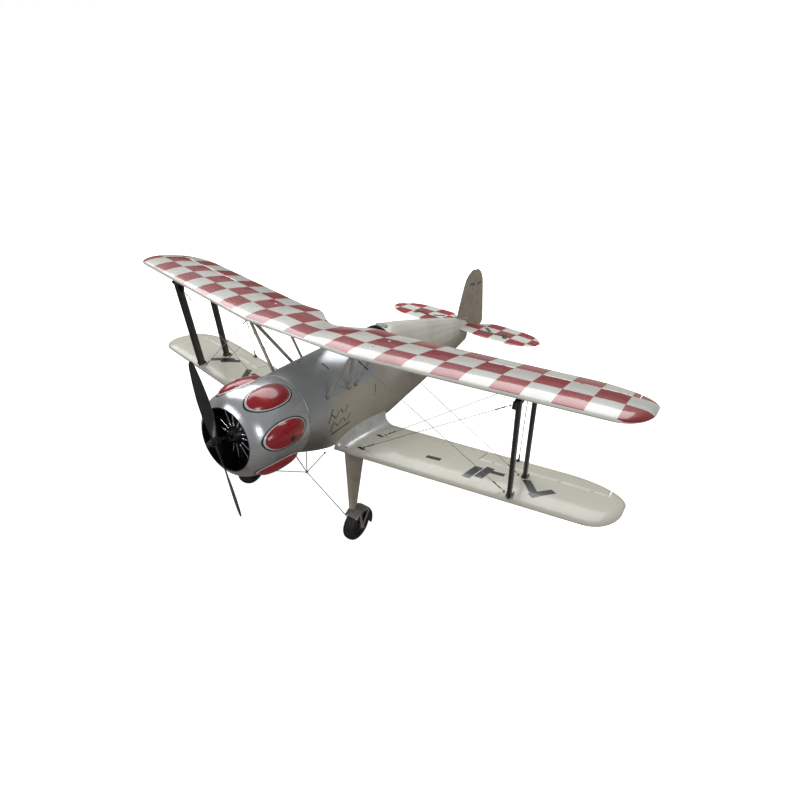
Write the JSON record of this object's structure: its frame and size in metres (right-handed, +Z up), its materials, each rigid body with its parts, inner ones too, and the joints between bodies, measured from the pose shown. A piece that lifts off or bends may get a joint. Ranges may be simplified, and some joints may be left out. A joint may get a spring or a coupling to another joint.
{
  "type": "radio controlled biplane",
  "caption": "Quarter-scale electric model biplane with checkered upper wing, round cowling, wire-braced struts and hinged control surfaces.",
  "frame": {"origin": "centre of the bounding box at ground level, with the model standing on its three wheels", "axes": "+Z up, nose towards -Y, pilot's port wing towards +X; the body axis is tipped 14 degrees nose-up"},
  "size_m": [1.6432, 1.4649, 0.5881],
  "materials": {
    "silver_paint": "gloss",
    "cream_film": "satin film",
    "red_white_film": "gloss film, red and white checks",
    "black_satin": "satin",
    "rubber": "matt",
    "steel": "satin",
    "beige_paint": "satin",
    "engine_dark": "satin",
    "plywood": "bare",
    "shrink_wrap": "satin",
    "clear_plastic": "clear",
    "leather": "satin"
  },
  "bodies": {
    "airframe": {"aileron_servo_port": "black_satin", "aileron_servo_stbd": "black_satin", "battery": "shrink_wrap", "cabane_front_port": "beige_paint", "cabane_front_stbd": "beige_paint", "cabane_rear_port": "beige_paint", "cabane_rear_stbd": "beige_paint", "cowling": "silver_paint", "dummy_engine": "engine_dark", "elevator_servo": "black_satin", "fin": "beige_paint", "firewall": "plywood", "flying_wire_front_port": "steel", "flying_wire_front_stbd": "steel", "flying_wire_rear_port": "steel", "flying_wire_rear_stbd": "steel", "fuselage_shell": "cream_film", "gear_leg_port": "beige_paint", "gear_leg_stbd": "beige_paint", "landing_wire_front_port": "steel", "landing_wire_front_stbd": "steel", "landing_wire_rear_port": "steel", "landing_wire_rear_stbd": "steel", "lower_wing_port": "cream_film", "lower_wing_stbd": "cream_film", "motor_stator": "steel", "mudguard_port": "silver_paint", "mudguard_stbd": "silver_paint", "pilot_seat": "leather", "radio_tray": "plywood", "receiver": "black_satin", "root_fillet_port": "silver_paint", "root_fillet_stbd": "silver_paint", "rudder_servo": "black_satin", "stabilizer_port": "red_white_film", "stabilizer_stbd": "red_white_film", "strut_front_port": "black_satin", "strut_front_stbd": "black_satin", "strut_rear_port": "black_satin", "strut_rear_stbd": "black_satin", "tail_spring": "engine_dark", "undercarriage_spider": "steel", "upper_wing": "red_white_film", "windshield": "clear_plastic"},
    "propeller": {"motor_bell": "steel", "propeller": "black_satin", "prop_nut": "steel"},
    "elevator": {"elevator": "red_white_film"},
    "rudder": {"rudder": "beige_paint"},
    "tail_fork": {"tail_fork": "steel"},
    "tail_wheel": {"tail_wheel": "rubber"},
    "aileron_lower_port": {"aileron_lower_port": "cream_film"},
    "aileron_upper_port": {"aileron_upper_port": "red_white_film"},
    "aileron_link_port": {"aileron_link_port": "black_satin"},
    "main_wheel_port": {"main_wheel_port": "rubber"},
    "aileron_lower_stbd": {"aileron_lower_stbd": "cream_film"},
    "aileron_upper_stbd": {"aileron_upper_stbd": "red_white_film"},
    "aileron_link_stbd": {"aileron_link_stbd": "black_satin"},
    "main_wheel_stbd": {"main_wheel_stbd": "rubber"}
  },
  "joints": [
    {"name": "propeller_spin", "type": "hinge", "parent": "airframe", "child": "propeller", "pos_m": [0, -0.69047, 0.42184], "axis": [0, 0.9703, -0.2419], "continuous": true},
    {"name": "aileron_lower_port_hinge", "type": "hinge", "parent": "airframe", "child": "aileron_lower_port", "pos_m": [0.6, -0.14773, 0.17102], "axis": [0.985, 0.1723, -0.0125], "range_deg": [-25, 25]},
    {"name": "aileron_upper_port_hinge", "type": "hinge", "parent": "airframe", "child": "aileron_upper_port", "pos_m": [0.6, -0.15604, 0.49791], "axis": [0.9763, 0.2117, -0.0454], "range_deg": [-25, 25]},
    {"name": "aileron_link_port_pivot", "type": "hinge", "parent": "aileron_lower_port", "child": "aileron_link_port", "pos_m": [0.518, -0.10308, 0.16066], "axis": [0.985, 0.1723, -0.0125], "range_deg": [-25, 25]},
    {"name": "aileron_lower_stbd_hinge", "type": "hinge", "parent": "airframe", "child": "aileron_lower_stbd", "pos_m": [-0.6, -0.14773, 0.17102], "axis": [0.985, -0.1723, 0.0125], "range_deg": [-25, 25]},
    {"name": "aileron_upper_stbd_hinge", "type": "hinge", "parent": "airframe", "child": "aileron_upper_stbd", "pos_m": [-0.6, -0.15604, 0.49791], "axis": [0.9763, -0.2117, 0.0454], "range_deg": [-25, 25]},
    {"name": "aileron_link_stbd_pivot", "type": "hinge", "parent": "aileron_lower_stbd", "child": "aileron_link_stbd", "pos_m": [-0.518, -0.10308, 0.16066], "axis": [0.985, -0.1723, 0.0125], "range_deg": [-25, 25]},
    {"name": "elevator_hinge", "type": "hinge", "parent": "airframe", "child": "elevator", "pos_m": [0, 0.55295, 0.14274], "axis": [1, 0, 0], "range_deg": [-25, 25]},
    {"name": "rudder_hinge", "type": "hinge", "parent": "airframe", "child": "rudder", "pos_m": [0, 0.58976, 0.21601], "axis": [0, 0.2419, 0.9703], "range_deg": [-30, 30]},
    {"name": "tail_fork_steer", "type": "hinge", "parent": "airframe", "child": "tail_fork", "pos_m": [0, 0.47259, 0.03952], "axis": [0, 0.2419, 0.9703], "range_deg": [-30, 30]},
    {"name": "tail_wheel_spin", "type": "hinge", "parent": "tail_fork", "child": "tail_wheel", "pos_m": [0, 0.47934, 0.01702], "axis": [1, 0, 0], "continuous": true},
    {"name": "main_wheel_port_spin", "type": "hinge", "parent": "airframe", "child": "main_wheel_port", "pos_m": [0.202, -0.46419, 0.048], "axis": [1, 0, 0], "continuous": true},
    {"name": "main_wheel_stbd_spin", "type": "hinge", "parent": "airframe", "child": "main_wheel_stbd", "pos_m": [-0.202, -0.46419, 0.048], "axis": [1, 0, 0], "continuous": true}
  ],
  "couplings": [
    {"joint": "aileron_upper_port_hinge", "follows": "aileron_lower_port_hinge", "ratio": 1},
    {"joint": "aileron_link_port_pivot", "follows": "aileron_lower_port_hinge", "ratio": -1},
    {"joint": "aileron_upper_stbd_hinge", "follows": "aileron_lower_stbd_hinge", "ratio": 1},
    {"joint": "aileron_link_stbd_pivot", "follows": "aileron_lower_stbd_hinge", "ratio": -1},
    {"joint": "tail_fork_steer", "follows": "rudder_hinge", "ratio": 1}
  ]
}
